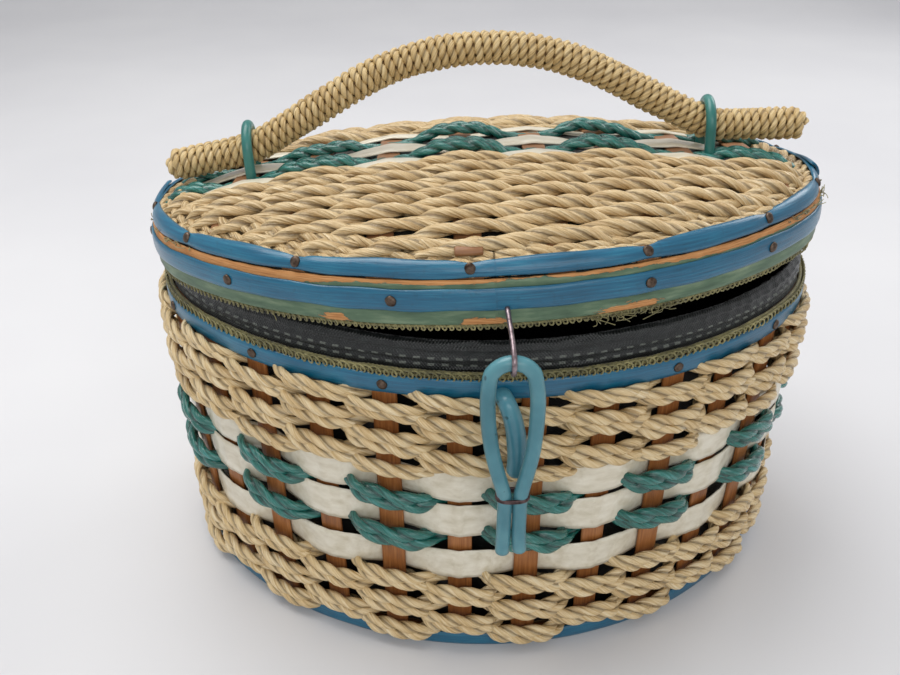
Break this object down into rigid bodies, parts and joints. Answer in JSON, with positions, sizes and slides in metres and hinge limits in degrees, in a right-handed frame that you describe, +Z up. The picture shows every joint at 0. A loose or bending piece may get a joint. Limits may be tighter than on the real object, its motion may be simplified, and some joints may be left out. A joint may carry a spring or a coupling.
{
  "type": "sewing basket",
  "caption": "Oval woven sewing basket with a lined inside, a domed lid on two loose ring hinges, a rope-wrapped swing handle and a looped clasp.",
  "frame": {"origin": "on the ground plane, at the middle of the base's underside", "axes": "+X along the long axis towards the right end as seen from the clasp side, +Y towards the hinge side, +Z up"},
  "size_m": [0.2834, 0.2375, 0.2304],
  "materials": {
    "blue_strip": "thin pressed plastic strip, folded at its ends, soft sheen with pale scuffs",
    "teal_cord": "two-ply plastic cord, glossy",
    "natural_cord": "two-ply twisted paper or straw cord",
    "white_strip": "broad off-white vinyl strip, creased over the stakes",
    "wood": "split wood, stained brown, fine grain",
    "painted_hoop": "bent wood hoop, green paint worn through to bare orange wood",
    "lining": "dark quilted lining with a slight gloss",
    "gimp": "narrow looped braid trim",
    "natural_rope": "two-ply rope wound tightly round the handle",
    "teal_tube": "soft plastic tube",
    "clasp_tube": "soft translucent plastic tube",
    "wire": "dull steel wire",
    "nail": "small darkened nail heads"
  },
  "bodies": {
    "basket": {"base_board": "wood", "base_strip": "blue_strip", "base_nails": "nail", "base_inner_hoop": "wood", "wall_stakes": "wood", "rim_inner_hoop": "wood", "rim_strip": "blue_strip", "rim_nails": "nail", "upper_cord_1": "natural_cord", "upper_cord_2": "natural_cord", "upper_cord_3": "natural_cord", "upper_cord_4": "natural_cord", "upper_cord_5": "natural_cord", "upper_cord_6": "natural_cord", "white_strip_1": "white_strip", "white_strip_2": "white_strip", "white_strip_3": "white_strip", "teal_cord_1": "teal_cord", "teal_cord_2": "teal_cord", "lower_cord_1": "natural_cord", "lower_cord_2": "natural_cord", "lower_cord_3": "natural_cord", "lower_cord_4": "natural_cord", "lower_cord_5": "natural_cord", "lining_wall": "lining", "lining_floor": "lining", "lining_collar": "lining", "rim_gimp": "gimp", "clasp_peg": "blue_strip"},
    "hinge_rings": {"hinge_ring_left": "wire", "hinge_ring_right": "wire"},
    "lid": {"lid_hoop": "painted_hoop", "lid_hoop_strip": "blue_strip", "lid_hoop_nails": "nail", "lid_top_strip": "blue_strip", "lid_top_nails": "nail", "lid_stakes": "wood", "lid_front_cords": "natural_cord", "lid_back_cords": "natural_cord", "lid_white_strip_1": "white_strip", "lid_white_strip_2": "white_strip", "lid_white_strip_3": "white_strip", "lid_teal_cord_1": "teal_cord", "lid_teal_cord_2": "teal_cord", "lid_lining": "lining", "lid_gimp": "gimp", "handle_loop_left": "teal_tube", "handle_loop_right": "teal_tube"},
    "handle": {"handle_core": "wood", "handle_wrap": "natural_rope"},
    "clasp_wire": {"clasp_wire": "wire"},
    "clasp_loop": {"clasp_loop": "clasp_tube", "clasp_tie": "wire"}
  },
  "joints": [
    {"name": "lid_play", "type": "hinge", "parent": "basket", "child": "hinge_rings", "pos_m": [0, 0.104, 0.14], "axis": [-0.8786, -0.4775, 0], "range_deg": [-5.24, 0]},
    {"name": "lid_hinge", "type": "hinge", "parent": "hinge_rings", "child": "lid", "pos_m": [0, 0.104, 0.14], "axis": [-0.999, -0.0017, -0.0436], "range_deg": [0, 95]},
    {"name": "handle_swing", "type": "hinge", "parent": "lid", "child": "handle", "pos_m": [-0.00194, 0.00356, 0.18841], "axis": [0.999, 0.0017, 0.0436], "range_deg": [-75, 75]},
    {"name": "clasp_wire_hinge", "type": "hinge", "parent": "lid", "child": "clasp_wire", "pos_m": [0.00229, -0.103, 0.1646], "axis": [-0.999, -0.0017, -0.0436], "range_deg": [0, 30]},
    {"name": "clasp_loop_hinge", "type": "hinge", "parent": "clasp_wire", "child": "clasp_loop", "pos_m": [0.0035, -0.1202, 0.15405], "axis": [-1, 0, 0], "range_deg": [0, 70]}
  ]
}
